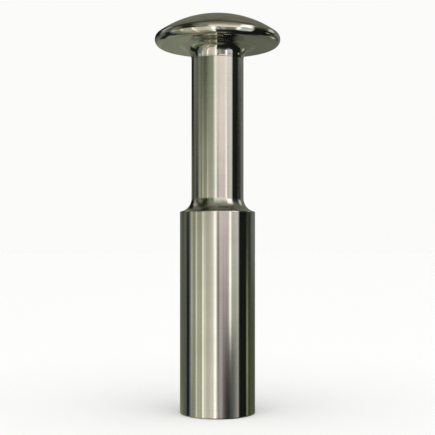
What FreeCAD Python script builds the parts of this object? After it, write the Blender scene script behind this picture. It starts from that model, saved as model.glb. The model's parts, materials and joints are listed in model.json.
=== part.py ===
import FreeCAD, Part
import math
import os
import Sketcher

# Hand-struck rivet setter for copper rivets and burrs.
#
# A shank is turned from one bar: a thick barrel, and a thinner neck with a fillet at its root.
# A mushroom head is screwed to the neck with a stud. Two hardened inserts sit in the barrel's
# setting face: a bored bush that drives the burr down, and a dished die that rounds the rivet.
#
# Millimetres. The origin is the centre of the setting face and +Z runs up the tool's axis.

# Driving dimensions. Diameters are named so; the rest are lengths, depths, radii and clearances.
SIZES = {
    # Shank
    "barrel_diameter": 19.05,
    "barrel_length": 50.9,
    "neck_diameter": 13.2,
    "neck_length": 41.8,
    "root_fillet": 3.42,
    "shoulder_round": 0.3,
    "face_chamfer": 0.25,
    # Striking head. The hub is the head's own fillet, down to the seam with the neck.
    "head_diameter": 31.8,
    "head_height": 7.95,
    "rim_round": 1.7,
    "hub_fillet": 3.42,
    # Stud and the two tapped holes that it fills
    "stud_diameter": 8.0,
    "stud_length": 12.0,
    "stud_chamfer": 0.7,
    "stud_socket_flats": 4.0,
    "stud_socket_depth": 4.0,
    "thread_clearance": 0.05,
    "stud_end_gap": 0.4,
    "tapped_mouth": 0.5,
    # Hardened inserts
    "insert_diameter": 6.35,
    "insert_length": 12.7,
    "insert_spacing": 8.8,
    "insert_clearance": 0.01,
    "insert_chamfer": 0.4,
    "rivet_bore": 4.0,
    "rivet_bore_chamfer": 0.3,
    "rivet_depth": 28.0,
    "relief_clearance": 0.4,
    "cup_diameter": 5.5,
    "cup_depth": 1.4,
}

DRILL_POINT_ANGLE = 118.0
CUTTING_FEATURES = (
    "PartDesign::Groove",
    "PartDesign::Hole",
    "PartDesign::Pocket",
    "PartDesign::SubtractivePrism",
    "PartDesign::SubtractiveSphere",
)

# Heights and radii that follow from the sizes
SHOULDER = "Sizes.barrel_length"
UNDERSIDE = "(Sizes.barrel_length + Sizes.neck_length)"
SEAM = "(Sizes.barrel_length + Sizes.neck_length - Sizes.hub_fillet)"
BARREL_RADIUS = "Sizes.barrel_diameter / 2"
NECK_RADIUS = "Sizes.neck_diameter / 2"
RIM_CENTRE = "Sizes.head_diameter / 2 - Sizes.rim_round"
STUD_BORE = "Sizes.stud_diameter + 2 * Sizes.thread_clearance"
STUD_BORE_DEPTH = "Sizes.stud_length / 2 + Sizes.stud_end_gap"
INSERT_BORE = "Sizes.insert_diameter + 2 * Sizes.insert_clearance"
BUSH_OFFSET = "-Sizes.insert_spacing / 2"
DIE_OFFSET = "Sizes.insert_spacing / 2"

ORIGIN_POINT = (-1, 1)
VERTICAL_AXIS = -2
START, END, CENTRE = 1, 2, 3


def make_sheet(doc):
    """Fill the spreadsheet with the driving dimensions."""
    sheet = doc.addObject("Spreadsheet::Sheet", "Sizes")
    for row, (alias, value) in enumerate(SIZES.items(), start=1):
        sheet.set(f"A{row}", alias)
        sheet.set(f"B{row}", str(value))
        sheet.setAlias(f"B{row}", alias)
    doc.recompute()


def new_body(doc, label):
    """Start a body whose label names its file."""
    body = doc.addObject("PartDesign::Body", label)
    body.Label = label
    return body


def add_on_plane(body, kind, name, role, height=None):
    """Attach a new object to one of the body's own planes, lifted to a height if one is given."""
    plane = next(item for item in body.Origin.OriginFeatures if item.Role == role)
    item = body.newObject(kind, name)
    item.AttachmentSupport = [(plane, "")]
    item.MapMode = "FlatFace"
    if height is not None:
        item.setExpression("AttachmentOffset.Base.z", height)
    return item


def new_sketch(body, name, role, height=None):
    """Start a sketch on one of the body's own planes."""
    return add_on_plane(body, "Sketcher::SketchObject", name, role, height)


def dimension(sketch, name, kind, *references, value, expression):
    """Add a named size to a sketch and bind it to the sheet."""
    index = sketch.addConstraint(Sketcher.Constraint(kind, *references, value))
    sketch.renameConstraint(index, name)
    sketch.setExpression(f"Constraints.{name}", expression)


def relate(sketch, kind, *references):
    """Add a relation that has no size."""
    sketch.addConstraint(Sketcher.Constraint(kind, *references))


def add_line(sketch, start, end):
    """Draw a straight edge."""
    line = Part.LineSegment(FreeCAD.Vector(*start, 0), FreeCAD.Vector(*end, 0))
    return sketch.addGeometry(line, False)


def add_arc(sketch, centre, radius, first_angle, last_angle):
    """Draw an arc, anticlockwise between two angles in degrees."""
    circle = Part.Circle(FreeCAD.Vector(*centre, 0), FreeCAD.Vector(0, 0, 1), radius)
    arc = Part.ArcOfCircle(circle, math.radians(first_angle), math.radians(last_angle))
    return sketch.addGeometry(arc, False)


def circle_sketch(body, name, diameter, height=None, offset=None):
    """Draw one circle on the XY plane, centred on the axis or moved along X."""
    sketch = new_sketch(body, name, "XY_Plane", height)
    circle = Part.Circle(FreeCAD.Vector(0, 0, 0), FreeCAD.Vector(0, 0, 1), 1)
    index = sketch.addGeometry(circle, False)
    if offset is None:
        relate(sketch, "Coincident", index, CENTRE, *ORIGIN_POINT)
    else:
        relate(sketch, "PointOnObject", index, CENTRE, -1)
        dimension(sketch, "offset", "DistanceX", *ORIGIN_POINT, index, CENTRE,
                  value=1, expression=offset)
    dimension(sketch, "size", "Diameter", index, value=2, expression=diameter)
    return sketch


def pad(body, sketch, name, length):
    """Raise a sketch along +Z."""
    feature = body.newObject("PartDesign::Pad", name)
    feature.Profile = sketch
    feature.setExpression("Length", length)
    sketch.Document.recompute()
    return feature


def cut_hole(body, sketch, name, diameter, depth, upwards, mouth=None):
    """Drill a blind hole with a drill point, and countersink its mouth if a width is given."""
    sketch.Document.recompute()
    feature = body.newObject("PartDesign::Hole", name)
    feature.Profile = sketch
    feature.DepthType = "Dimension"
    feature.DrillPoint = "Angled"
    feature.DrillPointAngle = DRILL_POINT_ANGLE
    feature.Reversed = upwards
    feature.setExpression("Diameter", diameter)
    feature.setExpression("Depth", depth)
    if mouth is not None:
        feature.HoleCutType = "Countersink"
        feature.HoleCutCountersinkAngle = 90
        feature.setExpression("HoleCutDiameter", mouth)
    sketch.Document.recompute()
    return feature


def cut_pocket(body, sketch, name, depth, upwards):
    """Cut a flat-bottomed pocket from a sketch."""
    feature = body.newObject("PartDesign::Pocket", name)
    feature.Profile = sketch
    feature.Reversed = upwards
    feature.setExpression("Length", depth)
    sketch.Document.recompute()
    return feature


def turn(body, sketch, name, kind):
    """Revolve a sketch round the tool's axis, to add metal or to take it off."""
    feature = body.newObject(kind, name)
    feature.Profile = sketch
    feature.ReferenceAxis = (sketch, ["V_Axis"])
    feature.Angle = 360
    sketch.Document.recompute()
    return feature


def ring_edge(feature, radius, highest):
    """Name the highest or lowest circular edge of a given radius."""
    found = []
    for number, edge in enumerate(feature.Shape.Edges, start=1):
        if isinstance(edge.Curve, Part.Circle) and abs(edge.Curve.Radius - radius) < 1e-4:
            found.append((edge.Curve.Center.z, f"Edge{number}"))
    return max(found)[1] if highest else min(found)[1]


def break_edge(body, feature, name, kind, edge, size_property, size):
    """Round or chamfer one edge."""
    finish = body.newObject(kind, name)
    finish.Base = (feature, [edge])
    finish.setExpression(size_property, size)
    body.Document.recompute()
    return finish


def draw_neck_cut(body):
    """Draw the metal that the lathe takes off to leave the neck and its root fillet."""
    neck = SIZES["neck_diameter"] / 2
    fillet = SIZES["root_fillet"]
    shoulder = SIZES["barrel_length"]
    top = shoulder + SIZES["neck_length"]
    outside = SIZES["barrel_diameter"] / 2 + fillet
    sketch = new_sketch(body, "neck_cut", "XZ_Plane")
    side = add_line(sketch, (neck, top), (neck, shoulder + fillet))
    root = add_arc(sketch, (neck + fillet, shoulder + fillet), fillet, 180, 270)
    floor = add_line(sketch, (neck + fillet, shoulder), (outside, shoulder))
    rise = add_line(sketch, (outside, shoulder), (outside, top))
    roof = add_line(sketch, (outside, top), (neck, top))
    relate(sketch, "Tangent", side, END, root, START)
    relate(sketch, "Tangent", root, END, floor, START)
    relate(sketch, "Coincident", floor, END, rise, START)
    relate(sketch, "Coincident", rise, END, roof, START)
    relate(sketch, "Coincident", roof, END, side, START)
    relate(sketch, "Vertical", side)
    relate(sketch, "Horizontal", floor)
    relate(sketch, "Vertical", rise)
    relate(sketch, "Horizontal", roof)
    dimension(sketch, "neck_radius", "DistanceX", *ORIGIN_POINT, side, START,
              value=neck, expression=NECK_RADIUS)
    dimension(sketch, "fillet_radius", "Radius", root,
              value=fillet, expression="Sizes.root_fillet")
    dimension(sketch, "shoulder_height", "DistanceY", *ORIGIN_POINT, floor, START,
              value=shoulder, expression=SHOULDER)
    dimension(sketch, "top_height", "DistanceY", *ORIGIN_POINT, rise, END,
              value=top, expression=UNDERSIDE)
    dimension(sketch, "outside_radius", "DistanceX", *ORIGIN_POINT, rise, START,
              value=outside, expression=f"{BARREL_RADIUS} + Sizes.root_fillet")
    return sketch


def make_shank(doc):
    """Turn the barrel and neck from one bar and bore its two ends."""
    body = new_body(doc, "shank")
    pad(body, circle_sketch(body, "bar_section", "Sizes.barrel_diameter"), "bar", SEAM)
    turned = turn(body, draw_neck_cut(body), "turned_neck", "PartDesign::Groove")
    barrel_radius = SIZES["barrel_diameter"] / 2
    rounded = break_edge(body, turned, "shoulder_edge", "PartDesign::Fillet",
                         ring_edge(turned, barrel_radius, highest=True),
                         "Radius", "Sizes.shoulder_round")
    break_edge(body, rounded, "face_edge", "PartDesign::Chamfer",
               ring_edge(rounded, barrel_radius, highest=False), "Size", "Sizes.face_chamfer")
    stud_seat = circle_sketch(body, "stud_seat", STUD_BORE, height=SEAM)
    cut_hole(body, stud_seat, "stud_hole", STUD_BORE, STUD_BORE_DEPTH, upwards=False,
             mouth=f"{STUD_BORE} + 2 * Sizes.tapped_mouth")
    for name, offset in (("bush", BUSH_OFFSET), ("die", DIE_OFFSET)):
        seat = circle_sketch(body, f"{name}_seat", INSERT_BORE, offset=offset)
        cut_pocket(body, seat, f"{name}_pocket", "Sizes.insert_length", upwards=True)
    relief_size = "Sizes.rivet_bore + 2 * Sizes.relief_clearance"
    relief = circle_sketch(body, "rivet_relief", relief_size, offset=BUSH_OFFSET)
    cut_hole(body, relief, "rivet_relief_hole", relief_size, "Sizes.rivet_depth", upwards=True)
    return body


def draw_head(body):
    """Draw half of the head: seam, hub fillet, flat underside, rounded rim and dome."""
    neck = SIZES["neck_diameter"] / 2
    hub = SIZES["hub_fillet"]
    rim = SIZES["rim_round"]
    height = SIZES["head_height"]
    underside = SIZES["barrel_length"] + SIZES["neck_length"]
    seam = underside - hub
    apex = underside + height
    rim_centre = SIZES["head_diameter"] / 2 - rim
    above_rim = height - rim
    dome = (rim_centre ** 2 + above_rim ** 2 - rim ** 2) / (2 * (height - 2 * rim))
    lean = math.degrees(math.acos(rim_centre / (dome - rim)))
    sketch = new_sketch(body, "head_section", "XZ_Plane")
    seat = add_line(sketch, (0, seam), (neck, seam))
    fillet = add_arc(sketch, (neck + hub, seam), hub, 90, 180)
    under = add_line(sketch, (neck + hub, underside), (rim_centre, underside))
    edge = add_arc(sketch, (rim_centre, underside + rim), rim, -90, lean)
    crown = add_arc(sketch, (0, apex - dome), dome, lean, 90)
    axis = add_line(sketch, (0, apex), (0, seam))
    relate(sketch, "Coincident", seat, END, fillet, END)
    relate(sketch, "Tangent", fillet, START, under, START)
    relate(sketch, "Tangent", under, END, edge, START)
    relate(sketch, "Tangent", edge, END, crown, START)
    relate(sketch, "Coincident", crown, END, axis, START)
    relate(sketch, "Coincident", axis, END, seat, START)
    relate(sketch, "Horizontal", seat)
    relate(sketch, "Horizontal", under)
    relate(sketch, "PointOnObject", axis, START, VERTICAL_AXIS)
    relate(sketch, "PointOnObject", axis, END, VERTICAL_AXIS)
    relate(sketch, "PointOnObject", crown, CENTRE, VERTICAL_AXIS)
    relate(sketch, "Horizontal", fillet, CENTRE, seat, END)
    dimension(sketch, "neck_radius", "DistanceX", *ORIGIN_POINT, seat, END,
              value=neck, expression=NECK_RADIUS)
    dimension(sketch, "hub_radius", "Radius", fillet,
              value=hub, expression="Sizes.hub_fillet")
    dimension(sketch, "rim_radius", "Radius", edge,
              value=rim, expression="Sizes.rim_round")
    dimension(sketch, "rim_centre", "DistanceX", *ORIGIN_POINT, edge, CENTRE,
              value=rim_centre, expression=RIM_CENTRE)
    dimension(sketch, "underside_height", "DistanceY", *ORIGIN_POINT, under, START,
              value=underside, expression=UNDERSIDE)
    dimension(sketch, "apex_height", "DistanceY", *ORIGIN_POINT, axis, START,
              value=apex, expression=f"{UNDERSIDE} + Sizes.head_height")
    return sketch


def make_head(doc):
    """Turn the mushroom head with its hub and tap it from below."""
    body = new_body(doc, "striking_head")
    turn(body, draw_head(body), "turned_head", "PartDesign::Revolution")
    stud_seat = circle_sketch(body, "stud_seat", STUD_BORE, height=SEAM)
    cut_hole(body, stud_seat, "stud_hole", STUD_BORE, STUD_BORE_DEPTH, upwards=True,
             mouth=f"{STUD_BORE} + 2 * Sizes.tapped_mouth")
    return body


def make_stud(doc):
    """Make the set screw that joins head and shank, half in each."""
    body = new_body(doc, "head_stud")
    foot = f"{SEAM} - Sizes.stud_length / 2"
    section = circle_sketch(body, "stud_section", "Sizes.stud_diameter", height=foot)
    rod = pad(body, section, "stud_rod", "Sizes.stud_length")
    radius = SIZES["stud_diameter"] / 2
    lower = break_edge(body, rod, "stud_foot", "PartDesign::Chamfer",
                       ring_edge(rod, radius, highest=False), "Size", "Sizes.stud_chamfer")
    break_edge(body, lower, "stud_top", "PartDesign::Chamfer",
               ring_edge(lower, radius, highest=True), "Size", "Sizes.stud_chamfer")
    socket_floor = f"{foot} + Sizes.stud_length - Sizes.stud_socket_depth"
    socket = add_on_plane(body, "PartDesign::SubtractivePrism", "hex_socket", "XY_Plane",
                          socket_floor)
    socket.Polygon = 6
    socket.setExpression("Circumradius", "Sizes.stud_socket_flats / 2 / cos(30 deg)")
    socket.setExpression("Height", "Sizes.stud_socket_depth")
    doc.recompute()
    return body


def make_insert_blank(doc, label, offset):
    """Make a round hardened insert with a lead-in at its inner end, at its place along X."""
    body = new_body(doc, label)
    body.setExpression("Placement.Base.x", offset)
    section = circle_sketch(body, f"{label}_section", "Sizes.insert_diameter")
    blank = pad(body, section, f"{label}_blank", "Sizes.insert_length")
    break_edge(body, blank, f"{label}_lead", "PartDesign::Chamfer",
               ring_edge(blank, SIZES["insert_diameter"] / 2, highest=True),
               "Size", "Sizes.insert_chamfer")
    return body


def make_burr_bush(doc):
    """Bore the bush right through and chamfer its mouth."""
    body = make_insert_blank(doc, "burr_bush", BUSH_OFFSET)
    bore = circle_sketch(body, "rivet_bore", "Sizes.rivet_bore")
    drilled = cut_pocket(body, bore, "rivet_bore_cut", "Sizes.insert_length", upwards=True)
    break_edge(body, drilled, "rivet_bore_mouth", "PartDesign::Chamfer",
               ring_edge(drilled, SIZES["rivet_bore"] / 2, highest=False),
               "Size", "Sizes.rivet_bore_chamfer")
    return body


def make_doming_die(doc):
    """Sink the round cup into the die's face."""
    body = make_insert_blank(doc, "doming_die", DIE_OFFSET)
    ball_radius = "((Sizes.cup_diameter / 2) ^ 2 + Sizes.cup_depth ^ 2) / (2 * Sizes.cup_depth)"
    cup = add_on_plane(body, "PartDesign::SubtractiveSphere", "cup", "XY_Plane",
                       f"Sizes.cup_depth - {ball_radius}")
    cup.setExpression("Radius", ball_radius)
    doc.recompute()
    return body


def check(doc, bodies):
    """Stop if a feature failed or cut nothing, a sketch is loose or a piece is not one solid."""
    for item in doc.Objects:
        if "Invalid" in item.State or "Error" in item.State:
            raise RuntimeError(f"{item.Label} failed: {item.State}")
        if item.TypeId == "Sketcher::SketchObject" and not item.FullyConstrained:
            raise RuntimeError(f"{item.Label} is not fully constrained")
        if item.TypeId in CUTTING_FEATURES:
            if item.Shape.Volume >= item.BaseFeature.Shape.Volume:
                raise RuntimeError(f"{item.Label} cut nothing")
    for body in bodies:
        shape = body.Shape
        if shape.isNull() or not shape.isValid() or len(shape.Solids) != 1:
            raise RuntimeError(f"{body.Label} is not one valid solid")


def main():
    """Build every piece and write one STEP file for each."""
    doc = FreeCAD.newDocument("rivet_setter")
    make_sheet(doc)
    makers = (make_shank, make_head, make_stud, make_burr_bush, make_doming_die)
    bodies = [make(doc) for make in makers]
    doc.recompute()
    check(doc, bodies)
    os.makedirs("parts", exist_ok=True)
    for body in bodies:
        body.Shape.exportStep(f"parts/{body.Label}.step")
        box = body.Shape.optimalBoundingBox(True, False)
        print(f"{body.Label}: {body.Shape.Volume:.2f} mm3, z {box.ZMin:.3f} to {box.ZMax:.3f}")


main()
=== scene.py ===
import json
import logging
import math
from collections.abc import Sequence
from dataclasses import dataclass
from enum import Enum

import bpy
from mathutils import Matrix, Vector


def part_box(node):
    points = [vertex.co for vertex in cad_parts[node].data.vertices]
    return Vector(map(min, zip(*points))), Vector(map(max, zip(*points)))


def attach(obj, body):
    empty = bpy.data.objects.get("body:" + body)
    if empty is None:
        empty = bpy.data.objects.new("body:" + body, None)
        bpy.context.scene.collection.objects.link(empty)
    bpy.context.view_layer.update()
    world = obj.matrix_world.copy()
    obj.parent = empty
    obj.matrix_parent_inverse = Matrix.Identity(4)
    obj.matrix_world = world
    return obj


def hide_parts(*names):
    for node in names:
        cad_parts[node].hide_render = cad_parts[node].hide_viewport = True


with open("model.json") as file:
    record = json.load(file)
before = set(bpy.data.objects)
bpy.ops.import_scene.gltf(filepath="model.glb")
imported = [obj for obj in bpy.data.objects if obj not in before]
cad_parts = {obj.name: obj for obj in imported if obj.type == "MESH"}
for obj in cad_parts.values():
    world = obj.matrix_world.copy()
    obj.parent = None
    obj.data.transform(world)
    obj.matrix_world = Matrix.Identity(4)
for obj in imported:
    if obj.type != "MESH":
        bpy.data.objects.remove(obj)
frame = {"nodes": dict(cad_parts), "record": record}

# The looks of a hand-struck rivet setter: a turned shank, a polished mushroom head and two inserts.
# Lengths are in metres unless a name ends in mm. +Z runs up the tool's axis from its setting face.

LOG = logging.getLogger("rivet_setter")

MM = 0.001
BODY = "root"

# Faces round the shank and head, round the inserts and their seats, and round the relief hole.
ROUND_STEPS = 256
INSERT_STEPS = 128
RELIEF_STEPS = 96
# Straight pieces in the tiny rounds that break the sharp edges.
EDGE_STEPS = 4
# Points nearer than these are one point: while a profile is drawn, and after it is spun.
SAME_POINT = 1e-5 * MM
WELD = 5e-4 * MM
# Slope of the cone that a drill leaves at the end of its hole, in degrees.
DRILL_SLOPE = 31.0
# How fine the clouds and tool marks of a finish break up, and the middle of their noise.
CLOUD_DETAIL = 3.0
MARK_DETAIL = 2.0
NOISE_MIDDLE = 0.5


class Slot(Enum):
    """The record's material slots."""

    TURNED = "turned_stainless"
    POLISHED = "polished_stainless"
    OXIDE = "black_oxide_steel"
    HARDENED = "hardened_tool_steel"


# ---------------------------------------------------------------------------------------------
# Small helpers
# ---------------------------------------------------------------------------------------------


def linear(hex_colour: str) -> tuple[float, float, float, float]:
    """Turn an sRGB hex colour into linear RGBA.

    Args:
        hex_colour: Six hex digits, with or without a leading hash.

    Returns:
        Linear red, green, blue and an alpha of one.
    """
    digits = hex_colour.lstrip("#")
    channels = [int(digits[i:i + 2], 16) / 255 for i in (0, 2, 4)]
    red, green, blue = (
        c / 12.92 if c <= 0.04045 else ((c + 0.055) / 1.055) ** 2.4 for c in channels
    )
    return red, green, blue, 1.0


def mount(name: str) -> dict:
    """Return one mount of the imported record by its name."""
    return next(m for m in frame["record"]["mounts"] if m["name"] == name)


def drill_point(radius: float) -> float:
    """Return the height of the cone at the end of a drilled hole of a given radius."""
    return radius * math.tan(math.radians(DRILL_SLOPE))


def deselect() -> None:
    """Leave edit mode and clear the selection, CAD nodes included."""
    if bpy.context.object and bpy.context.object.mode != "OBJECT":
        bpy.ops.object.mode_set(mode="OBJECT")
    bpy.ops.object.select_all(action="DESELECT")


def select_only(piece: bpy.types.Object) -> None:
    """Make one object the only selected and active one."""
    deselect()
    piece.select_set(True)
    bpy.context.view_layer.objects.active = piece


class Nodes:
    """A node tree with one call that adds a node, sets it up and links its inputs."""

    def __init__(self, tree: bpy.types.NodeTree) -> None:
        """Empty the tree and keep it."""
        self.tree = tree
        tree.nodes.clear()

    def add(self, kind: str, inputs: dict | None = None, **settings: object) -> bpy.types.Node:
        """Add a node.

        Args:
            kind: The node's type name.
            inputs: Socket name or index to a value, or to an output socket to link.
            settings: Properties set on the node itself.

        Returns:
            The new node.
        """
        node = self.tree.nodes.new(kind)
        for name, value in settings.items():
            setattr(node, name, value)
        for key, value in (inputs or {}).items():
            socket = node.inputs[key]
            if isinstance(value, bpy.types.NodeSocket):
                self.tree.links.new(value, socket)
            else:
                socket.default_value = value
        return node

    def math(self, operation: str, *values: object) -> bpy.types.NodeSocket:
        """Add a Math node and return its output."""
        inputs = dict(enumerate(values))
        return self.add("ShaderNodeMath", inputs, operation=operation).outputs[0]

    def fade(self, value: bpy.types.NodeSocket, start: float, end: float,
             low: float = 0.0, high: float = 1.0) -> bpy.types.NodeSocket:
        """Run smoothly from low to high as a value goes from start to end."""
        inputs = {"Value": value, 1: start, 2: end, 3: low, 4: high}
        node = self.add("ShaderNodeMapRange", inputs, interpolation_type="SMOOTHSTEP")
        return node.outputs["Result"]

    def blend(self, share: object, below: object, above: object) -> bpy.types.NodeSocket:
        """Mix two colours."""
        inputs = {"Factor": share, 6: below, 7: above}
        return self.add("ShaderNodeMix", inputs, data_type="RGBA").outputs[2]


# ---------------------------------------------------------------------------------------------
# Turning and boring
# ---------------------------------------------------------------------------------------------


class Lathe:
    """Draws half of a turned piece as a line of edges and spins it round an upright axis."""

    def __init__(self, name: str, radius: float, height: float, across: float = 0.0) -> None:
        """Start the profile.

        Args:
            name: The piece's name.
            radius: First point's distance from the axis.
            height: First point's height.
            across: Where the axis stands along X.
        """
        deselect()
        self.axis = Vector((across, 0.0, 0.0))
        place = self.axis + Vector((radius, 0.0, height))
        bpy.ops.mesh.primitive_plane_add(size=MM, location=place)
        self.piece = bpy.context.object
        self.piece.name = name
        self.piece.data.name = name
        bpy.ops.object.transform_apply(location=True, rotation=True, scale=True)
        bpy.ops.object.mode_set(mode="EDIT")
        bpy.ops.mesh.select_all(action="SELECT")
        bpy.ops.mesh.merge(type="CENTER")
        self.radius = radius
        self.height = height

    def line(self, radius: float, height: float, pieces: int = 1) -> "Lathe":
        """Run straight to a point, in equal pieces."""
        step = Vector((radius - self.radius, 0.0, height - self.height)) / pieces
        for _ in range(pieces):
            bpy.ops.mesh.extrude_region_move(TRANSFORM_OT_translate={"value": step})
        self.radius = radius
        self.height = height
        return self

    def arc(self, centre: tuple[float, float], radius: float, start: float, end: float,
            steps: int) -> "Lathe":
        """Run round an arc.

        Args:
            centre: The arc's centre, as distance from the axis and height.
            radius: The arc's radius.
            start: First angle in degrees, from the outward direction towards up.
            end: Last angle in degrees.
            steps: How many straight pieces stand for the arc.

        Returns:
            The lathe, for the next move.
        """
        for index in range(steps + 1):
            angle = math.radians(start + (end - start) * index / steps)
            point = (centre[0] + radius * math.cos(angle), centre[1] + radius * math.sin(angle))
            if math.dist(point, (self.radius, self.height)) > SAME_POINT:
                self.line(*point)
        return self

    def spin(self, steps: int = ROUND_STEPS) -> bpy.types.Object:
        """Turn the profile right round, close it and point its faces outwards.

        Args:
            steps: How many faces go round.

        Returns:
            The turned piece, in object mode.
        """
        bpy.ops.mesh.select_all(action="SELECT")
        bpy.ops.mesh.spin(steps=steps, angle=2 * math.pi, center=self.axis, axis=(0, 0, 1))
        bpy.ops.mesh.select_all(action="SELECT")
        bpy.ops.mesh.remove_doubles(threshold=WELD)
        bpy.ops.mesh.select_all(action="SELECT")
        bpy.ops.mesh.normals_make_consistent(inside=False)
        bpy.ops.object.mode_set(mode="OBJECT")
        return self.piece


def close_bottom(piece: bpy.types.Object) -> None:
    """Fill the open ring at the foot of a turned piece with one flat face."""
    select_only(piece)
    bpy.ops.object.mode_set(mode="EDIT")
    bpy.ops.mesh.select_mode(type="EDGE")
    bpy.ops.mesh.select_all(action="DESELECT")
    bpy.ops.mesh.select_non_manifold()
    bpy.ops.mesh.edge_face_add()
    bpy.ops.mesh.select_mode(type="VERT")
    bpy.ops.mesh.select_all(action="SELECT")
    bpy.ops.mesh.normals_make_consistent(inside=False)
    bpy.ops.object.mode_set(mode="OBJECT")


def cut(piece: bpy.types.Object, cutter: bpy.types.Object) -> None:
    """Take one solid out of another and throw the cutter away."""
    select_only(piece)
    modifier = piece.modifiers.new("cut", "BOOLEAN")
    modifier.operation = "DIFFERENCE"
    modifier.solver = "EXACT"
    modifier.object = cutter
    bpy.ops.object.modifier_apply(modifier=modifier.name)
    bpy.data.objects.remove(cutter)


def smooth(piece: bpy.types.Object, degrees: float = 25.0) -> None:
    """Shade the turned faces smooth, with flats kept flat beside small rounds.

    Args:
        piece: The finished mesh.
        degrees: The angle between two faces that still counts as a curve.
    """
    select_only(piece)
    bpy.ops.object.shade_smooth_by_angle(angle=math.radians(degrees), keep_sharp_edges=True)
    modifier = piece.modifiers.new("weighted", "WEIGHTED_NORMAL")
    modifier.mode = "FACE_AREA"
    modifier.keep_sharp = True
    bpy.ops.object.modifier_apply(modifier=modifier.name)


# ---------------------------------------------------------------------------------------------
# Finishes
# ---------------------------------------------------------------------------------------------


@dataclass(frozen=True)
class Metal:
    """A bare steel surface, as its maker left it.

    The tool marks run round the piece, so their spacing is measured along the profile: up a wall
    and outwards over a face. Stain gathers in clouds, between two levels of their noise, and in
    the bottoms of the marks.
    """

    name: str
    colour: str
    stain: str
    roughness: float
    roughness_drift: float
    anisotropy: float
    mark_spacing_mm: float
    mark_depth_mm: float
    cloud_mm: float
    cloud_levels: tuple[float, float] = (0.35, 0.75)
    cloud_stain: float = 0.6
    groove_levels: tuple[float, float] = (0.45, 0.2)
    groove_stain: float = 0.35

    def build(self, across: float = 0.0) -> bpy.types.Material:
        """Make the material.

        Args:
            across: Where the piece's own axis stands along X.

        Returns:
            A node material that reads Object coordinates.
        """
        material = bpy.data.materials.new(self.name)
        material.use_nodes = True
        nodes = Nodes(material.node_tree)
        place = nodes.add("ShaderNodeTexCoord").outputs["Object"]
        centred = nodes.add(
            "ShaderNodeMapping", {"Vector": place, "Location": (-across, 0.0, 0.0)}
        ).outputs["Vector"]
        along = self.along_profile(nodes, centred)
        clouds = nodes.add(
            "ShaderNodeTexNoise",
            {"Vector": place, "Scale": 1 / (self.cloud_mm * MM), "Detail": CLOUD_DETAIL},
        ).outputs["Fac"]
        marks = self.tool_marks(nodes, along)
        shader = nodes.add(
            "ShaderNodeBsdfPrincipled",
            {
                "Base Color": self.tint(nodes, clouds, marks),
                "Metallic": 1.0,
                "Roughness": self.polish(nodes, clouds, marks),
                "Anisotropic": self.anisotropy,
                "Normal": nodes.add(
                    "ShaderNodeBump",
                    {"Height": marks, "Strength": 1.0, "Distance": self.mark_depth_mm * MM},
                ).outputs["Normal"],
                "Tangent": self.down_profile(nodes, centred),
            },
        )
        nodes.add("ShaderNodeOutputMaterial", {"Surface": shader.outputs[0]})
        return material

    def along_profile(self, nodes: Nodes, centred: bpy.types.NodeSocket) -> bpy.types.NodeSocket:
        """Measure distance along the profile: height plus distance from the axis."""
        split = nodes.add("ShaderNodeSeparateXYZ", {0: centred}).outputs
        flat = nodes.add("ShaderNodeCombineXYZ", {0: split[0], 1: split[1]}).outputs[0]
        reach = nodes.add("ShaderNodeVectorMath", {0: flat}, operation="LENGTH").outputs["Value"]
        return nodes.math("ADD", split[2], reach)

    def down_profile(self, nodes: Nodes, centred: bpy.types.NodeSocket) -> bpy.types.NodeSocket:
        """Point across the tool marks, where the finish scatters light the most."""
        up = nodes.add("ShaderNodeCombineXYZ", {2: 1.0}).outputs[0]
        round_axis = nodes.add("ShaderNodeVectorMath", {0: up, 1: centred},
                               operation="CROSS_PRODUCT").outputs[0]
        normal = nodes.add("ShaderNodeNewGeometry").outputs["Normal"]
        across = nodes.add("ShaderNodeVectorMath", {0: normal, 1: round_axis},
                           operation="CROSS_PRODUCT").outputs[0]
        return nodes.add("ShaderNodeVectorMath", {0: across}, operation="NORMALIZE").outputs[0]

    def tool_marks(self, nodes: Nodes, along: bpy.types.NodeSocket) -> bpy.types.NodeSocket:
        """Draw fine uneven rings, one mark spacing apart."""
        return nodes.add(
            "ShaderNodeTexNoise",
            {"W": along, "Scale": 1 / (self.mark_spacing_mm * MM), "Detail": MARK_DETAIL},
            noise_dimensions="1D",
        ).outputs["Fac"]

    def polish(self, nodes: Nodes, clouds: bpy.types.NodeSocket,
               marks: bpy.types.NodeSocket) -> bpy.types.NodeSocket:
        """Let the roughness drift with handling and with the tool marks."""
        both = nodes.math("ADD", nodes.math("SUBTRACT", clouds, NOISE_MIDDLE),
                          nodes.math("SUBTRACT", marks, NOISE_MIDDLE))
        return nodes.math("MULTIPLY_ADD", both, self.roughness_drift, self.roughness)

    def tint(self, nodes: Nodes, clouds: bpy.types.NodeSocket,
             marks: bpy.types.NodeSocket) -> bpy.types.NodeSocket:
        """Stain the bare colour faintly in clouds, and in the bottoms of the marks."""
        share = nodes.math("MULTIPLY", nodes.fade(clouds, *self.cloud_levels), self.cloud_stain)
        stained = nodes.blend(share, linear(self.colour), linear(self.stain))
        grooves = nodes.fade(marks, *self.groove_levels, 0.0, self.groove_stain)
        return nodes.blend(grooves, stained, linear(self.stain))


# Stainless bar, turned and rubbed along the lathe with fine cloth: satin down the tool, nearly a
# mirror round it, so that what it reflects is drawn out into long upright stripes.
TURNED_STAINLESS = Metal(
    name="turned_stainless", colour="c3c2bf", stain="b6b5af", roughness=0.13,
    roughness_drift=0.03, anisotropy=1.0, mark_spacing_mm=0.35, mark_depth_mm=0.0006,
    cloud_mm=9.0,
)
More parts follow.
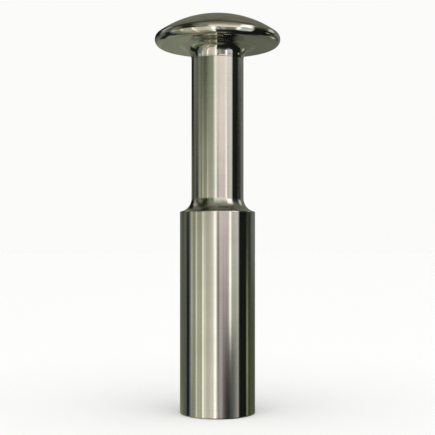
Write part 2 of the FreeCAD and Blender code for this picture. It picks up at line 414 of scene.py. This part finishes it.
# The same steel taken to a mirror on a wheel, with the faintest haze left. Shallow rings from the
# lathe still ripple what it mirrors. They are drawn wider and deeper than real ones, which wouldn't
# show.
POLISHED_STAINLESS = Metal(
    name="polished_stainless", colour="c3c2bd", stain="bcbbb4", roughness=0.05,
    roughness_drift=0.02, anisotropy=0.0, mark_spacing_mm=0.4, mark_depth_mm=0.008,
    cloud_mm=6.0,
)
# Tool steel, ground after hardening: darker, with a trace of straw temper colour.
HARDENED_STEEL = Metal(
    name="hardened_tool_steel", colour="a9a69c", stain="8c7f66", roughness=0.26,
    roughness_drift=0.06, anisotropy=0.6, mark_spacing_mm=0.2, mark_depth_mm=0.0008,
    cloud_mm=2.0,
)
# Oxide-blacked alloy steel, as set screws come: a dark, slightly oily skin.
BLACK_OXIDE = Metal(
    name="black_oxide_steel", colour="34332f", stain="1c1b1a", roughness=0.4,
    roughness_drift=0.08, anisotropy=0.0, mark_spacing_mm=0.3, mark_depth_mm=0.001,
    cloud_mm=1.5,
)


def dress(piece: bpy.types.Object, finish: Metal, slot: Slot, *replaced: str,
          across: float = 0.0) -> None:
    """Give a new piece its finish, its body and the CAD nodes that it stands for.

    Args:
        piece: The finished mesh.
        finish: What it is made of.
        slot: The record's slot for that finish. It is not used.
        replaced: CAD nodes that are hidden behind it.
        across: Where its own axis stands along X.
    """
    piece.data.materials.clear()
    piece.data.materials.append(finish.build(across))
    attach(piece, BODY)
    if replaced:
        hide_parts(*replaced)
    LOG.info("%s: %d faces, %s", piece.name, len(piece.data.polygons), finish.name)


# ---------------------------------------------------------------------------------------------
# The tool's pieces
# ---------------------------------------------------------------------------------------------


@dataclass
class StrikingHead:
    """The mushroom head: hub fillet, flat underside, round rim and shallow dome."""

    neck_radius: float = 6.6 * MM
    hub_fillet: float = 3.42 * MM
    rim_round: float = 1.7 * MM
    seam_break: float = 0.06 * MM
    stud_bore: float = 4.05 * MM
    bore_depth: float = 6.4 * MM
    bore_mouth: float = 0.5 * MM
    hub_steps: int = 40
    underside_steps: int = 6
    rim_steps: int = 56
    dome_steps: int = 44

    def build(self) -> None:
        """Turn the head and polish it."""
        low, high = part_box("striking_head")
        seam, apex, radius = low.z, high.z, high.x
        underside = seam + self.hub_fillet
        centre = radius - self.rim_round
        rise = apex - underside
        dome = (centre ** 2 + (rise - self.rim_round) ** 2 - self.rim_round ** 2) / (
            2 * (rise - 2 * self.rim_round)
        )
        lean = math.degrees(math.acos(centre / (dome - self.rim_round)))
        edge = self.neck_radius - self.seam_break
        point = seam + self.bore_depth + drill_point(self.stud_bore)
        lathe = Lathe("polished_head", 0.0, point)
        lathe.line(self.stud_bore, seam + self.bore_depth)
        lathe.line(self.stud_bore, seam + self.bore_mouth)
        lathe.line(self.stud_bore + self.bore_mouth, seam)
        lathe.line(edge, seam)
        lathe.arc((edge, seam + self.seam_break), self.seam_break, -90, 0, EDGE_STEPS)
        lathe.arc((self.neck_radius + self.hub_fillet, seam), self.hub_fillet,
                  180 - math.degrees(self.seam_break / self.hub_fillet), 90, self.hub_steps)
        lathe.line(centre, underside, self.underside_steps)
        lathe.arc((centre, underside + self.rim_round), self.rim_round, -90, lean, self.rim_steps)
        lathe.arc((0.0, apex - dome), dome, lean, 90, self.dome_steps)
        head = lathe.spin()
        smooth(head)
        dress(head, POLISHED_STAINLESS, Slot.POLISHED, "striking_head")


@dataclass
class Shank:
    """Barrel and neck, turned from one bar, with the seats for the inserts and the stud."""

    neck_radius: float = 6.6 * MM
    root_fillet: float = 3.42 * MM
    shoulder: float = 50.9 * MM
    shoulder_round: float = 0.3 * MM
    face_chamfer: float = 0.25 * MM
    seam_break: float = 0.06 * MM
    stud_bore: float = 4.05 * MM
    bore_depth: float = 6.4 * MM
    bore_mouth: float = 0.5 * MM
    insert_bore: float = 3.185 * MM
    relief_bore: float = 2.4 * MM
    rivet_depth: float = 28.0 * MM
    wall_steps: int = 4
    root_steps: int = 48
    shoulder_steps: int = 12

    def build(self) -> None:
        """Turn the shank, bore its face and rub it to a satin finish."""
        low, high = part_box("shank")
        barrel = mount("barrel")["dims"]["r_mm"] * MM
        shank = self.turn(barrel, low.z, high.z)
        close_bottom(shank)
        for node in ("burr_bush", "doming_die"):
            cut(shank, self.insert_pocket(node))
        cut(shank, self.relief())
        smooth(shank)
        dress(shank, TURNED_STAINLESS, Slot.TURNED, "shank")

    def turn(self, barrel: float, face: float, seam: float) -> bpy.types.Object:
        """Turn the outside and the stud's bore.

        Args:
            barrel: The barrel's radius.
            face: Height of the setting face.
            seam: Height of the seam with the head.

        Returns:
            The shank with its foot still open.
        """
        lathe = Lathe("turned_shank", barrel - self.face_chamfer, face)
        lathe.line(barrel, face + self.face_chamfer)
        self.turn_shoulder(lathe, barrel)
        lathe.line(self.neck_radius, seam - self.seam_break, self.wall_steps)
        edge = self.neck_radius - self.seam_break
        lathe.arc((edge, seam - self.seam_break), self.seam_break, 0, 90, EDGE_STEPS)
        lathe.line(self.stud_bore + self.bore_mouth, seam)
        lathe.line(self.stud_bore, seam - self.bore_mouth)
        lathe.line(self.stud_bore, seam - self.bore_depth)
        lathe.line(0.0, seam - self.bore_depth - drill_point(self.stud_bore))
        return lathe.spin()

    def turn_shoulder(self, lathe: Lathe, barrel: float) -> None:
        """Run up the barrel, over its rounded edge and into the fillet at the neck's root."""
        fillet = (self.neck_radius + self.root_fillet, self.shoulder + self.root_fillet)
        edge_radius = barrel - self.shoulder_round
        reach = fillet[0] - edge_radius
        both = self.root_fillet + self.shoulder_round
        edge = (edge_radius, fillet[1] - math.sqrt(both ** 2 - reach ** 2))
        meet = math.degrees(math.acos(reach / both))
        lathe.line(barrel, edge[1], self.wall_steps)
        lathe.arc(edge, self.shoulder_round, 0, meet, self.shoulder_steps)
        lathe.arc(fillet, self.root_fillet, 180 + meet, 180, self.root_steps)

    def insert_pocket(self, node: str) -> bpy.types.Object:
        """Make the cutter for an insert's seat, a little past the face so that it cuts clean."""
        low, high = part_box(node)
        across = (low.x + high.x) / 2
        lathe = Lathe(f"{node}_cutter", 0.0, high.z, across)
        lathe.line(self.insert_bore, high.z)
        lathe.line(self.insert_bore, low.z + self.seam_break)
        lathe.line(self.insert_bore + 2 * self.seam_break, low.z - self.seam_break)
        lathe.line(0.0, low.z - self.seam_break)
        return lathe.spin(INSERT_STEPS)

    def relief(self) -> bpy.types.Object:
        """Make the cutter for the wider hole above the bush, started a little inside the bush."""
        low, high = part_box("burr_bush")
        across = (low.x + high.x) / 2
        lathe = Lathe("relief_cutter", 0.0, high.z - MM, across)
        lathe.line(self.relief_bore, high.z - MM)
        lathe.line(self.relief_bore, self.rivet_depth)
        lathe.line(0.0, self.rivet_depth + drill_point(self.relief_bore))
        return lathe.spin(RELIEF_STEPS)


@dataclass
class BurrBush:
    """The hardened bush whose bore takes the rivet and whose face drives the burr."""

    edge_break: float = 0.06 * MM
    lead: float = 0.4 * MM
    mouth: float = 0.3 * MM

    def build(self) -> None:
        """Turn, bore and grind the bush."""
        low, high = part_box("burr_bush")
        across = (low.x + high.x) / 2
        outer = (high.x - low.x) / 2
        bore = mount("rivet_bore")["dims"]["r_mm"] * MM
        lathe = Lathe("bored_bush", bore, high.z, across)
        lathe.line(bore, low.z + self.mouth)
        lathe.line(bore + self.mouth, low.z)
        lathe.line(outer - self.edge_break, low.z)
        lathe.arc((outer - self.edge_break, low.z + self.edge_break), self.edge_break, -90, 0,
                  EDGE_STEPS)
        lathe.line(outer, high.z - self.lead)
        lathe.line(outer - self.lead, high.z)
        lathe.line(bore, high.z)
        bush = lathe.spin(INSERT_STEPS)
        smooth(bush)
        dress(bush, HARDENED_STEEL, Slot.HARDENED, "burr_bush", across=across)


@dataclass
class DomingDie:
    """The hardened insert with the dished cup that rounds the rivet's end."""

    cup_radius: float = 2.75 * MM
    cup_depth: float = 1.4 * MM
    edge_break: float = 0.06 * MM
    lead: float = 0.4 * MM
    cup_steps: int = 24

    def build(self) -> None:
        """Turn the die and sink its cup."""
        low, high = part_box("doming_die")
        across = (low.x + high.x) / 2
        outer = (high.x - low.x) / 2
        ball = (self.cup_radius ** 2 + self.cup_depth ** 2) / (2 * self.cup_depth)
        rim = math.degrees(math.asin((ball - self.cup_depth) / ball))
        lathe = Lathe("dished_die", 0.0, self.cup_depth, across)
        lathe.arc((0.0, self.cup_depth - ball), ball, 90, rim, self.cup_steps)
        lathe.line(outer - self.edge_break, low.z)
        lathe.arc((outer - self.edge_break, low.z + self.edge_break), self.edge_break, -90, 0,
                  EDGE_STEPS)
        lathe.line(outer, high.z - self.lead)
        lathe.line(outer - self.lead, high.z)
        lathe.line(0.0, high.z)
        die = lathe.spin(INSERT_STEPS)
        smooth(die)
        dress(die, HARDENED_STEEL, Slot.HARDENED, "doming_die", across=across)


class HeadStud:
    """The set screw that joins head and shank. It keeps its CAD shape, out of sight."""

    def build(self) -> None:
        """Black the screw."""
        stud = frame["nodes"]["head_stud"]
        stud.data.materials.clear()
        stud.data.materials.append(BLACK_OXIDE.build())
        LOG.info("head_stud: CAD mesh, %s", BLACK_OXIDE.name)


# ---------------------------------------------------------------------------------------------
# Studio
# ---------------------------------------------------------------------------------------------


@dataclass(frozen=True)
class Card:
    """A soft panel of the studio, as seen from the tool.

    Angles are in degrees. Bearing runs from the front (-Y) towards +X, and rise is above the
    horizon. The panel fades out over its softness, which is centred on each edge. Lean is how far
    its bearing moves for each degree above its foot.
    """

    bearing: float
    width: float
    low: float
    high: float
    colour: str
    strength: float = 1.0
    softness: float = 4.0
    rise_softness: float = 6.0
    lean: float = 0.0


@dataclass
class SmokedFlag:
    """A smoked sheet low in front, to the right, that only polished steel sees.

    It stands square to its bearing, reach away from the tool. Its smoke comes in from the left,
    thins out to the right and ends in a soft top edge. Bearings are in degrees.
    """

    bearing: float = 38.0
    reach: float = 100.0 * MM
    half_width: float = 70.0 * MM
    half_height: float = 35.0 * MM
    middle_below_top: float = 30.0 * MM
    top: float = 11.5 * MM
    top_softness: float = 3.0 * MM
    smoke_from: tuple[float, float] = (8.0, 28.0)
    smoke_thins: tuple[float, float] = (34.0, 72.0)
    thinnest: float = 0.25
    colour: str = "2a2a2c"

    def build(self) -> None:
        """Stand the sheet up and smoke it."""
        deselect()
        bpy.ops.mesh.primitive_plane_add(size=2.0, rotation=(math.radians(90.0), 0.0, 0.0))
        flag = bpy.context.object
        flag.name = "smoked_flag"
        flag.scale = (self.half_width, self.half_height, 1.0)
        turn = math.radians(self.bearing)
        flag.rotation_euler.z = turn
        flag.location = (self.reach * math.sin(turn), -self.reach * math.cos(turn),
                         self.top - self.middle_below_top)
        bpy.ops.object.transform_apply(location=True, rotation=True, scale=True)
        flag.data.materials.append(self.film())
        flag.visible_camera = False
        flag.visible_diffuse = False
        flag.visible_shadow = False

    def film(self) -> bpy.types.Material:
        """Make the clear film with its patch of dark smoke."""
        material = bpy.data.materials.new("smoked_film")
        material.use_nodes = True
        nodes = Nodes(material.node_tree)
        place = nodes.add("ShaderNodeTexCoord").outputs["Object"]
        split = nodes.add("ShaderNodeSeparateXYZ", {0: place}).outputs
        bearing = nodes.math("ARCTAN2", split[0], nodes.math("MULTIPLY", split[1], -1.0))
        rising = nodes.fade(bearing, *map(math.radians, self.smoke_from))
        falling = nodes.fade(bearing, *map(math.radians, self.smoke_thins), 1.0, self.thinnest)
        edge = nodes.fade(split[2], self.top + self.top_softness, self.top - self.top_softness)
        share = nodes.math("MULTIPLY", nodes.math("MULTIPLY", rising, falling), edge)
        clear = nodes.add("ShaderNodeBsdfTransparent")
        smoke = nodes.add("ShaderNodeEmission", {"Color": linear(self.colour)})
        film = nodes.add("ShaderNodeMixShader", {0: share, 1: clear.outputs[0],
                                                 2: smoke.outputs[0]})
        nodes.add("ShaderNodeOutputMaterial", {"Surface": film.outputs[0]})
        return material


@dataclass
class Studio:
    """Floor, backdrop, panels, lights and camera.

    The streaks are tall noise that breaks the panels up: squash is how much slower it changes
    upwards than sideways, and clutter is how much it lightens or darkens them. The overhead lamp's
    spread and lean are in degrees, and the shift is a share of the frame's width.
    """

    backdrop: str = "fbfbfa"
    paper: str = "f2f2f0"
    paper_roughness: float = 0.9
    floor_radius: float = 4.0
    floor_sides: int = 128
    floor_drop: float = 0.02 * MM
    camera_distance: float = 237.2 * MM
    camera_height: float = 43.0 * MM
    camera_clip: float = 0.01
    sensor_mm: float = 36.0
    lens_mm: float = 77.4
    shift: float = 0.0586
    room: str = "5c5d50"
    brightness: float = 1.9
    overhead: float = 3.72
    overhead_spread: float = 80.0
    overhead_lean: float = 12.0
    clutter: float = 0.16
    streak_scale: float = 22.0
    streak_squash: float = 0.22
    streak_detail: float = 3.0
    streak_levels: tuple[float, float] = (0.3, 0.7)
    cards: Sequence[Card] = ()

    def build(self) -> None:
        """Set up everything round the tool."""
        self.make_floor()
        self.make_world()
        SmokedFlag().build()
        self.make_lights()
        self.make_camera()
        bpy.context.scene.view_settings.view_transform = "Standard"
        bpy.context.scene.cycles.use_denoising = True

    def make_floor(self) -> None:
        """Lay a plain pale round floor that the polished steel doesn't mirror."""
        deselect()
        bpy.ops.mesh.primitive_circle_add(vertices=self.floor_sides, radius=self.floor_radius,
                                          fill_type="NGON", location=(0.0, 0.0, -self.floor_drop))
        floor = bpy.context.object
        floor.name = "floor"
        bpy.ops.object.transform_apply(location=True, rotation=True, scale=True)
        material = bpy.data.materials.new("matt_paper")
        material.use_nodes = True
        nodes = Nodes(material.node_tree)
        paper = nodes.add(
            "ShaderNodeBsdfPrincipled",
            {"Base Color": linear(self.paper), "Roughness": self.paper_roughness},
        )
        nodes.add("ShaderNodeOutputMaterial", {"Surface": paper.outputs[0]})
        floor.data.materials.append(material)
        floor.visible_glossy = False

    def make_world(self) -> None:
        """Paint the room and its panels round the tool, and show the camera a plain backdrop."""
        world = bpy.data.worlds.new("studio")
        bpy.context.scene.world = world
        world.use_nodes = True
        world.cycles_visibility.diffuse = False
        world.cycles.sampling_method = "NONE"
        nodes = Nodes(world.node_tree)
        direction = nodes.add("ShaderNodeTexCoord").outputs["Generated"]
        split = nodes.add("ShaderNodeSeparateXYZ", {0: direction}).outputs
        bearing = nodes.math("ARCTAN2", split[0], nodes.math("MULTIPLY", split[1], -1.0))
        rise = nodes.math("ARCSINE", split[2])
        colour = linear(self.room)
        for card in self.cards:
            colour = self.add_card(nodes, card, bearing, rise, colour)
        colour = self.add_clutter(nodes, direction, colour)
        room = nodes.add("ShaderNodeBackground", {"Color": colour, "Strength": self.brightness})
        paper = nodes.add("ShaderNodeBackground", {"Color": linear(self.backdrop)})
        seen = nodes.add("ShaderNodeLightPath").outputs["Is Camera Ray"]
        shown = nodes.add("ShaderNodeMixShader", {0: seen, 1: room.outputs[0],
                                                  2: paper.outputs[0]})
        nodes.add("ShaderNodeOutputWorld", {"Surface": shown.outputs[0]})

    def add_clutter(self, nodes: Nodes, direction: bpy.types.NodeSocket,
                    colour: bpy.types.NodeSocket) -> bpy.types.NodeSocket:
        """Break the panels up a little with tall narrow streaks, as a lived-in workshop does."""
        tall = nodes.add(
            "ShaderNodeMapping", {"Vector": direction, "Scale": (1.0, 1.0, self.streak_squash)}
        ).outputs["Vector"]
        streaks = nodes.add(
            "ShaderNodeTexNoise",
            {"Vector": tall, "Scale": self.streak_scale, "Detail": self.streak_detail},
        ).outputs["Fac"]
        gain = nodes.fade(streaks, *self.streak_levels, 1.0 - self.clutter, 1.0 + self.clutter)
        return nodes.add("ShaderNodeVectorMath", {0: colour, "Scale": gain},
                         operation="SCALE").outputs[0]

    def add_card(self, nodes: Nodes, card: Card, bearing: bpy.types.NodeSocket,
                 rise: bpy.types.NodeSocket, behind: object) -> bpy.types.NodeSocket:
        """Hang one panel in front of what is already there.

        Args:
            nodes: The world's tree.
            card: The panel.
            bearing: Bearing of the direction looked at, in radians.
            rise: Its rise, in radians.
            behind: Colour of what the panel covers.

        Returns:
            The colour with the panel in place.
        """
        above = nodes.math("SUBTRACT", rise, math.radians(card.low))
        foot = nodes.math("MULTIPLY_ADD", above, card.lean, math.radians(card.bearing))
        turn = nodes.math("SUBTRACT", bearing, foot)
        aside = nodes.math("ABSOLUTE", nodes.math("WRAP", turn, math.pi, -math.pi))
        half = math.radians(card.width / 2)
        soft = math.radians(card.softness / 2)
        across = nodes.fade(aside, half + soft, half - soft)
        middle = math.radians((card.high + card.low) / 2)
        tall = math.radians((card.high - card.low) / 2)
        rise_soft = math.radians(card.rise_softness / 2)
        off_level = nodes.math("ABSOLUTE", nodes.math("SUBTRACT", rise, middle))
        up_down = nodes.fade(off_level, tall + rise_soft, tall - rise_soft)
        share = nodes.math("MULTIPLY", across, up_down)
        light = tuple(channel * card.strength for channel in linear(card.colour)[:3]) + (1.0,)
        return nodes.blend(share, behind, light)

    def make_lights(self) -> None:
        """Light the floor evenly from above. The steel doesn't mirror this light."""
        light = bpy.data.lights.new("overhead", "SUN")
        light.energy = self.overhead
        light.angle = math.radians(self.overhead_spread)
        lamp = bpy.data.objects.new("overhead", light)
        lamp.rotation_euler = (math.radians(self.overhead_lean), 0.0, 0.0)
        lamp.visible_glossy = False
        bpy.context.scene.collection.objects.link(lamp)

    def make_camera(self) -> None:
        """Stand the camera in front of the tool, level, just under the middle of its height."""
        data = bpy.data.cameras.new("camera")
        data.sensor_width = self.sensor_mm
        data.lens = self.lens_mm
        data.shift_y = self.shift
        data.clip_start = self.camera_clip
        camera = bpy.data.objects.new("camera", data)
        camera.location = (0.0, -self.camera_distance, self.camera_height)
        camera.rotation_euler = (math.radians(90.0), 0.0, 0.0)
        bpy.context.scene.collection.objects.link(camera)
        bpy.context.scene.camera = camera


# The room that the bare steel mirrors, as soft patches of one colour each, from the farthest back
# to the nearest. Each is placed and coloured as the steel shows it from the front. They
# light nothing but the steel, and they are no part of the tool.
STUDIO_CARDS = (
    # Ceiling: warmer and lighter over the front, olive over the back.
    Card(bearing=20.0, width=150.0, low=50.0, high=100.0, colour="76746a", softness=80.0,
         rise_softness=20.0),
    Card(bearing=25.0, width=110.0, low=30.0, high=56.0, colour="8c8a79", softness=50.0,
         rise_softness=16.0),
    Card(bearing=146.0, width=120.0, low=55.0, high=88.0, colour="4a4134", softness=50.0,
         rise_softness=10.0),
    Card(bearing=-138.0, width=80.0, low=54.0, high=90.0, colour="36372b", softness=36.0,
         rise_softness=10.0),
    # Back walls, left and right.
    Card(bearing=130.0, width=110.0, low=-95.0, high=-50.0, colour="14170e", softness=20.0,
         rise_softness=24.0),
    Card(bearing=-150.0, width=60.0, low=-72.0, high=12.0, colour="6b6e5e", softness=6.0,
         rise_softness=12.0),
    Card(bearing=152.0, width=56.0, low=-40.0, high=12.0, colour="54574b", softness=6.0,
         rise_softness=20.0),
    # Upper left: dark beams with a grey-green gap.
    Card(bearing=-55.0, width=84.0, low=6.0, high=24.0, colour="525a45", softness=12.0,
         rise_softness=5.0),
    Card(bearing=-62.0, width=44.0, low=8.0, high=18.0, colour="333824", softness=16.0,
         rise_softness=3.0),
    Card(bearing=-90.0, width=66.0, low=40.0, high=64.0, colour="2c2e22", softness=26.0,
         rise_softness=12.0),
    Card(bearing=-50.0, width=26.0, low=12.0, high=52.0, colour="25261a", softness=12.0,
         rise_softness=8.0, lean=-0.6),
    Card(bearing=-90.0, width=24.0, low=12.0, high=32.0, colour="6c7260", softness=14.0,
         rise_softness=8.0),
    Card(bearing=-118.0, width=16.0, low=13.0, high=42.0, colour="7c7d76", softness=10.0,
         rise_softness=10.0),
    Card(bearing=-102.0, width=13.0, low=14.0, high=42.0, colour="363a2e", softness=8.0,
         rise_softness=8.0),
    Card(bearing=-146.0, width=34.0, low=3.5, high=36.0, colour="14160e", softness=12.0,
         rise_softness=6.0),
    Card(bearing=-128.0, width=12.0, low=24.0, high=42.0, colour="a19c9b", softness=8.0,
         rise_softness=6.0),
    Card(bearing=-28.0, width=20.0, low=3.0, high=46.0, colour="6a795f", softness=14.0,
         rise_softness=8.0),
    # Upper front: a tall lamp over the camera and the big window to its right.
    Card(bearing=0.0, width=34.0, low=8.0, high=44.0, colour="b0b09e", softness=10.0,
         rise_softness=24.0),
    Card(bearing=0.0, width=22.0, low=2.0, high=27.0, colour="d4d2c1", softness=6.0,
         rise_softness=6.0),
    Card(bearing=40.0, width=72.0, low=8.0, high=34.0, colour="c2c0b2", softness=10.0,
         rise_softness=20.0),
    Card(bearing=52.0, width=30.0, low=14.5, high=48.0, colour="f4f1ea", softness=10.0,
         rise_softness=4.0, lean=0.5),
    Card(bearing=52.0, width=22.0, low=15.0, high=30.0, colour="fffbf8", softness=10.0,
         rise_softness=4.0, strength=1.35, lean=0.5),
    # The pale plateau that the neck shows.
    Card(bearing=27.0, width=80.0, low=-30.0, high=13.0, colour="b1ada2", softness=5.0,
         rise_softness=5.0),
    Card(bearing=12.0, width=56.0, low=7.5, high=18.0, colour="dcd6c8", softness=5.0,
         rise_softness=3.0),
    Card(bearing=24.0, width=24.0, low=5.5, high=8.5, colour="e8dcd6", softness=7.0,
         rise_softness=2.0),
    Card(bearing=17.0, width=38.0, low=1.0, high=6.5, colour="d6c2c4", softness=5.0,
         rise_softness=2.0),
    # Lower left: a pale wall with three strip lamps standing in front of it.
    Card(bearing=-117.0, width=48.0, low=-33.0, high=-14.0, colour="161f16", softness=10.0,
         rise_softness=6.0),
    Card(bearing=-137.0, width=44.0, low=-7.5, high=6.0, colour="54554c", softness=16.0,
         rise_softness=4.0),
    Card(bearing=-131.0, width=10.0, low=-1.0, high=9.0, colour="383b31", softness=8.0,
         rise_softness=4.0),
    Card(bearing=-133.0, width=38.0, low=-9.6, high=-7.4, colour="4c4d24", softness=12.0,
         rise_softness=1.5),
    Card(bearing=-118.0, width=16.0, low=-12.0, high=8.0, colour="50534a", softness=8.0,
         rise_softness=4.0),
    Card(bearing=-53.0, width=80.0, low=-80.0, high=7.0, colour="8c9079", softness=8.0,
         rise_softness=4.0),
    Card(bearing=-53.0, width=80.0, low=-80.0, high=3.0, colour="a09e8a", softness=6.0,
         rise_softness=4.0),
    Card(bearing=-60.0, width=60.0, low=-82.0, high=-50.0, colour="88836f", softness=16.0,
         rise_softness=10.0),
    Card(bearing=-84.0, width=22.0, low=-50.0, high=-8.0, colour="676e64", softness=10.0,
         rise_softness=6.0),
    Card(bearing=-86.0, width=8.0, low=-7.0, high=3.5, colour="a3a69c", softness=6.0,
         rise_softness=4.0),
    Card(bearing=-76.0, width=6.0, low=-14.0, high=8.0, colour="807f6b", softness=4.0,
         rise_softness=4.0),
    Card(bearing=-67.0, width=4.0, low=-20.0, high=4.0, colour="d8d9c4", softness=3.5,
         rise_softness=5.0),
    Card(bearing=-30.0, width=30.0, low=-60.0, high=2.5, colour="b8b4a6", softness=10.0,
         rise_softness=4.0),
    Card(bearing=-44.5, width=4.5, low=-46.0, high=1.5, colour="fffdea", softness=3.5,
         rise_softness=3.0),
    Card(bearing=-38.5, width=6.0, low=-46.0, high=3.0, colour="c4c2b0", softness=3.0,
         rise_softness=4.0),
    Card(bearing=-16.0, width=10.0, low=-70.0, high=5.0, colour="c4c0b7", softness=6.0,
         rise_softness=4.0),
    Card(bearing=-7.5, width=8.0, low=-78.0, high=5.5, colour="fdfef2", softness=5.0,
         rise_softness=4.0, strength=1.05),
    Card(bearing=-57.0, width=8.0, low=-64.0, high=-55.0, colour="eee4de", softness=5.0,
         rise_softness=4.0),
    Card(bearing=-36.0, width=34.0, low=-74.0, high=-54.0, colour="77785e", softness=14.0,
         rise_softness=8.0),
    Card(bearing=-112.0, width=34.0, low=-62.0, high=-40.0, colour="4c523f", softness=14.0,
         rise_softness=8.0),
    Card(bearing=-138.0, width=16.0, low=-52.0, high=-37.0, colour="7f8c74", softness=8.0,
         rise_softness=6.0),
    # Lower right: a shaded wall, a narrow lamp, then the dark side of the room.
    Card(bearing=10.0, width=22.0, low=-40.0, high=-1.5, colour="999290", softness=5.0,
         rise_softness=4.0),
    Card(bearing=24.0, width=18.0, low=-40.0, high=-2.5, colour="706d6a", softness=9.0,
         rise_softness=5.0),
    Card(bearing=52.0, width=18.0, low=-32.0, high=-0.5, colour="989c8c", softness=8.0,
         rise_softness=5.0),
    Card(bearing=54.0, width=30.0, low=-34.0, high=-13.5, colour="b4bcc2", softness=8.0,
         rise_softness=5.0),
    Card(bearing=2.0, width=5.5, low=-8.5, high=3.5, colour="262e22", softness=3.0,
         rise_softness=4.0),
    Card(bearing=4.0, width=9.0, low=-46.0, high=-12.0, colour="7c7c70", softness=5.0,
         rise_softness=5.0),
    Card(bearing=1.0, width=2.0, low=-80.0, high=-7.5, colour="c8c4ac", softness=2.0,
         rise_softness=3.0),
    Card(bearing=60.0, width=12.0, low=1.5, high=9.0, colour="c2c4c4", softness=8.0,
         rise_softness=4.0),
    Card(bearing=35.0, width=80.0, low=-95.0, high=-38.0, colour="15181a", softness=8.0,
         rise_softness=14.0),
    Card(bearing=52.0, width=18.0, low=-44.0, high=-31.0, colour="8d979d", softness=10.0,
         rise_softness=10.0),
    Card(bearing=39.0, width=6.5, low=-32.0, high=6.0, colour="fffdf4", softness=4.5,
         rise_softness=4.0, strength=1.15),
    Card(bearing=14.0, width=30.0, low=-50.0, high=-42.0, colour="5c5d57", softness=10.0,
         rise_softness=8.0),
    Card(bearing=84.0, width=30.0, low=-95.0, high=24.0, colour="141615", softness=5.0,
         rise_softness=20.0),
    Card(bearing=104.0, width=24.0, low=-95.0, high=14.0, colour="121510", softness=8.0,
         rise_softness=8.0),
    Card(bearing=90.0, width=36.0, low=16.0, high=33.0, colour="2c3432", softness=12.0,
         rise_softness=14.0),
    Card(bearing=117.0, width=18.0, low=-2.0, high=13.0, colour="272b28", softness=8.0,
         rise_softness=4.0),
    Card(bearing=144.0, width=40.0, low=-2.0, high=16.0, colour="5f625d", softness=10.0,
         rise_softness=6.0),
    Card(bearing=120.0, width=18.0, low=-14.0, high=-2.0, colour="3a4024", softness=6.0,
         rise_softness=3.0),
    Card(bearing=139.0, width=24.0, low=-14.0, high=-2.0, colour="434340", softness=8.0,
         rise_softness=4.0),
    Card(bearing=103.0, width=9.0, low=-12.0, high=-2.5, colour="838e66", softness=7.0,
         rise_softness=3.0),
    Card(bearing=116.0, width=20.0, low=14.0, high=31.0, colour="b4bab6", softness=9.0,
         rise_softness=8.0, lean=0.7),
    Card(bearing=132.0, width=14.0, low=-26.0, high=-15.0, colour="9c9e88", softness=8.0,
         rise_softness=6.0),
    # Left side, in front: the post beside the pale wall, and the bench under everything.
    Card(bearing=-92.5, width=6.0, low=-45.0, high=4.0, colour="5d6167", softness=4.0,
         rise_softness=4.0),
    Card(bearing=-102.0, width=14.0, low=-45.0, high=4.0, colour="171b1d", softness=5.0,
         rise_softness=4.0),
    Card(bearing=0.0, width=360.0, low=-100.0, high=-78.0, colour="4c5039", softness=1.0,
         rise_softness=12.0),
    # The ceiling straight overhead, one even tone whichever way it is seen.
    Card(bearing=0.0, width=360.0, low=77.0, high=100.0, colour="605e53", softness=1.0,
         rise_softness=22.0),
)


def main() -> None:
    """Build the tool and the studio."""
    logging.basicConfig(level=logging.INFO, format="%(name)s: %(message)s")
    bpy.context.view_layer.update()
    for part in (Shank(), StrikingHead(), BurrBush(), DomingDie(), HeadStud()):
        part.build()
    Studio(cards=STUDIO_CARDS).build()


if __name__ == "__main__":
    main()
